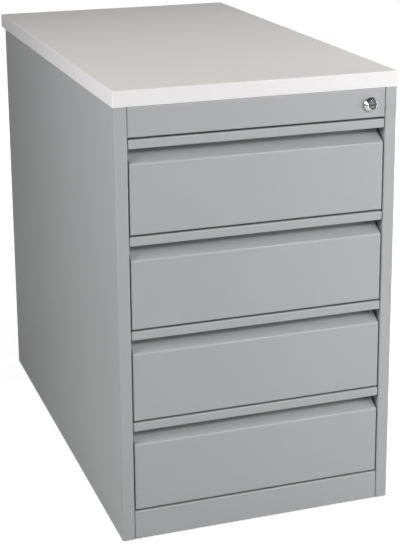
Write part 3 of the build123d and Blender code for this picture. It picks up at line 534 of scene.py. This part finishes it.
# Worktop: a 25 mm chipboard faced with pale grey melamine paper, which is pressed against a finely pearled
# plate. It lies on the carcass and is screwed from below.
WORKTOP_SCREW = {"Head": 0.0045, "Height": 0.0024, "Shank": 0.002, "Length": 0.015, "Crests": 10,
                 "Recess": 0.0011, "Seed": 7}
WORKTOP_SCREW_SEAT = 0.704
WORKTOP_SCREWS_ACROSS = (-0.15, 0, 0.15)
WORKTOP_SCREWS_ALONG = (-0.3965, 0.369)
TO_FLOOR = (math.pi, 0, 0)

# The pearl breaks the melamine's sheen up, so it looks flat and pale and mirrors nothing clearly. It is drawn
# at 1.2 mm, twice its real size, so that the render can hold it. The paper's tone drifts over about 220 mm.
PEARL = 0.0012
PAPER_CLOUD = 0.22
melamine, tree, place = new_material("pearled_melamine")
pearl = add(tree, "ShaderNodeTexNoise", None, {"Vector": place, "Scale": 1 / PEARL, "Detail": 2.0})
cloud = add(tree, "ShaderNodeTexNoise", None, {"Vector": place, "Scale": 1 / PAPER_CLOUD, "Detail": 2.0})
paper = add(tree, "ShaderNodeMix", {"data_type": "RGBA"}, {
    0: cloud.outputs[0], 6: linear("#D6D4D1"), 7: linear("#DAD9D6")})
relief = add(tree, "ShaderNodeBump", None, {
    "Strength": 0.15, "Distance": 0.0002, "Height": pearl.outputs[0]})
gloss = add(tree, "ShaderNodeMapRange", None, {"Value": pearl.outputs[0], "To Min": 0.52, "To Max": 0.62})
skin = add(tree, "ShaderNodeBsdfPrincipled", None, {
    "Base Color": paper.outputs[2], "Roughness": gloss.outputs[0], "Normal": relief.outputs[0],
    "Specular IOR Level": 0.25})
add(tree, "ShaderNodeOutputMaterial", None, {"Surface": skin.outputs[0]})
dress(("worktop_board",), melamine)
places = [((x, y, WORKTOP_SCREW_SEAT), TO_FLOOR)
          for x in WORKTOP_SCREWS_ACROSS for y in WORKTOP_SCREWS_ALONG]
screws = grow("worktop_pan_screws", cross_screw, places, {**WORKTOP_SCREW, "Metal": zinc_plate},
              "carcass")
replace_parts(screws, "worktop_screws")

# Edging: 2 mm strips of white ABS, extruded, glued round the board and trimmed flush with a rounded cutter.
# The die leaves a smooth satin skin with faint lines along the strip, about 0.8 mm apart over its height.
LINES_PER_METRE = (8, 8, 1250)
edging_abs, tree, place = new_material("edging_abs")
drawn = add(tree, "ShaderNodeMapping", {"vector_type": "POINT"}, {"Vector": place, "Scale": LINES_PER_METRE})
streak = add(tree, "ShaderNodeTexNoise", None, {"Vector": drawn.outputs[0], "Scale": 1.0, "Detail": 1.0})
white = add(tree, "ShaderNodeMix", {"data_type": "RGBA"}, {
    0: streak.outputs[0], 6: linear("#E9E7E7"), 7: linear("#EDEBEB")})
relief = add(tree, "ShaderNodeBump", None, {
    "Strength": 0.05, "Distance": 0.0001, "Height": streak.outputs[0]})
skin = add(tree, "ShaderNodeBsdfPrincipled", None, {
    "Base Color": white.outputs[2], "Roughness": 0.38, "Normal": relief.outputs[0], "IOR": 1.5})
add(tree, "ShaderNodeOutputMaterial", None, {"Surface": skin.outputs[0]})
dress(("worktop_edging",), edging_abs)

# Studio: a sheet of pale paper that the camera sees as white, soft boxes in front, to the left, above and
# behind, and the camera that was fitted to the photograph's straight edges. Gloss sees the walls at a third of
# that white, and a ceiling that is nearly black.
FLOOR_HALF = 8
LAMPS = (  # name, place, aim, side length, watts
    ("key_box", (0.8, -2.0, 1.65), (0, -0.4, 0.4), 0.5, 20.3),
    ("front_box", (1.4, -1.3, 0.6), (0, -0.4, 0.4), 0.9, 14.6),
    ("left_box", (-1.35, -0.7, 1.15), (-0.2, -0.25, 0.5), 0.7, 16.3),
    ("over_box", (0.35, -0.12, 2.0), (0.1, -0.05, 0.7), 0.8, 9.0),
    ("back_box", (1.9, 1.9, 0.6), (0.1, 0.2, 0.4), 1.2, 24))
CAMERA_PLACE = (-0.7669, -2.3806, 1.1436)
CAMERA_DEGREES = (75.6382, 0.4028, -18.8726)
floor_mesh = bpy.data.meshes.new("studio_floor")
corners = [(x * FLOOR_HALF, y * FLOOR_HALF, 0) for x, y in ((-1, -1), (1, -1), (1, 1), (-1, 1))]
floor_mesh.from_pydata(corners, [], [(0, 1, 2, 3)])
floor = bpy.data.objects.new("studio_floor", floor_mesh)
scene.collection.objects.link(floor)
paper_white, tree, place = new_material("white_paper_floor")
ray = add(tree, "ShaderNodeLightPath")
# gloss sees the sheet at a third in front of the cabinet, and hardly at all behind it, where little light falls
depth = add(tree, "ShaderNodeSeparateXYZ", None, {0: place})
mirrored = add(tree, "ShaderNodeMapRange", None, {
    "Value": depth.outputs[1], "From Min": -0.5, "From Max": 0.5, "To Min": 0.3, "To Max": 0.02})
seen = add(tree, "ShaderNodeMath", {"operation": "MULTIPLY_ADD"}, {
    0: ray.outputs["Is Glossy Ray"], 1: mirrored.outputs[0], 2: ray.outputs["Is Camera Ray"]})
seen = add(tree, "ShaderNodeMath", {"operation": "ADD", "use_clamp": True}, {
    0: seen.outputs[0], 1: ray.outputs["Is Transmission Ray"]})
matt = add(tree, "ShaderNodeBsdfDiffuse", None, {"Color": linear("#C4C4C4")})
# the paper is a little less white round the object, so that its shadow stays
reach = add(tree, "ShaderNodeVectorMath", {"operation": "LENGTH"}, {0: place})
whiteness = add(tree, "ShaderNodeMapRange", None, {
    "Value": reach.outputs["Value"], "From Min": 0.9, "From Max": 2.2, "To Min": 0.78, "To Max": 1.0})
glow = add(tree, "ShaderNodeEmission", None, {"Color": (1, 1, 1, 1), "Strength": whiteness.outputs[0]})
lit = add(tree, "ShaderNodeAddShader", None, {0: matt.outputs[0], 1: glow.outputs[0]})
shown = add(tree, "ShaderNodeMixShader", None, {0: seen.outputs[0], 1: matt.outputs[0], 2: lit.outputs[0]})
add(tree, "ShaderNodeOutputMaterial", None, {"Surface": shown.outputs[0]})
floor_mesh.materials.append(paper_white)

world = bpy.data.worlds.new("studio")
world.use_nodes = True
tree = world.node_tree
tree.nodes.clear()
ray = add(tree, "ShaderNodeLightPath")
heading = add(tree, "ShaderNodeSeparateXYZ", None, {
    0: add(tree, "ShaderNodeTexCoord").outputs["Generated"]})
walls = add(tree, "ShaderNodeMapRange", None, {
    "Value": heading.outputs[2], "From Min": 0.1, "From Max": 0.35, "To Min": 0.35, "To Max": 0.02})
seen = add(tree, "ShaderNodeMath", {"operation": "MULTIPLY_ADD"}, {
    0: ray.outputs["Is Glossy Ray"], 1: walls.outputs[0], 2: ray.outputs["Is Camera Ray"]})
seen = add(tree, "ShaderNodeMath", {"operation": "ADD", "use_clamp": True}, {
    0: seen.outputs[0], 1: ray.outputs["Is Transmission Ray"]})
# the room itself gives the object only a little light
level = add(tree, "ShaderNodeMapRange", None, {"Value": seen.outputs[0], "To Min": 0.06, "To Max": 1.0})
sky = add(tree, "ShaderNodeBackground", None, {"Color": (1, 1, 1, 1), "Strength": level.outputs[0]})
add(tree, "ShaderNodeOutputWorld", None, {"Surface": sky.outputs[0]})
scene.world = world

for name, spot, aim, size, power in LAMPS:
    lamp = bpy.data.lights.new(name, "AREA")
    lamp.size = size
    lamp.energy = power
    box = bpy.data.objects.new(name, lamp)
    box.location = spot
    # mirrored, the box overhead would be a glare on the worktop
    box.visible_glossy = name != "over_box"
    box.rotation_euler = (Vector(aim) - Vector(spot)).to_track_quat("-Z", "Y").to_euler()
    scene.collection.objects.link(box)

lens = bpy.data.cameras.new("camera")
lens.sensor_width = 36.0
lens.lens = 92.757
lens.shift_y = -0.2052
camera = bpy.data.objects.new("camera", lens)
camera.location = CAMERA_PLACE
camera.rotation_euler = [math.radians(a) for a in CAMERA_DEGREES]
scene.collection.objects.link(camera)
scene.camera = camera
scene.view_settings.view_transform = "Standard"
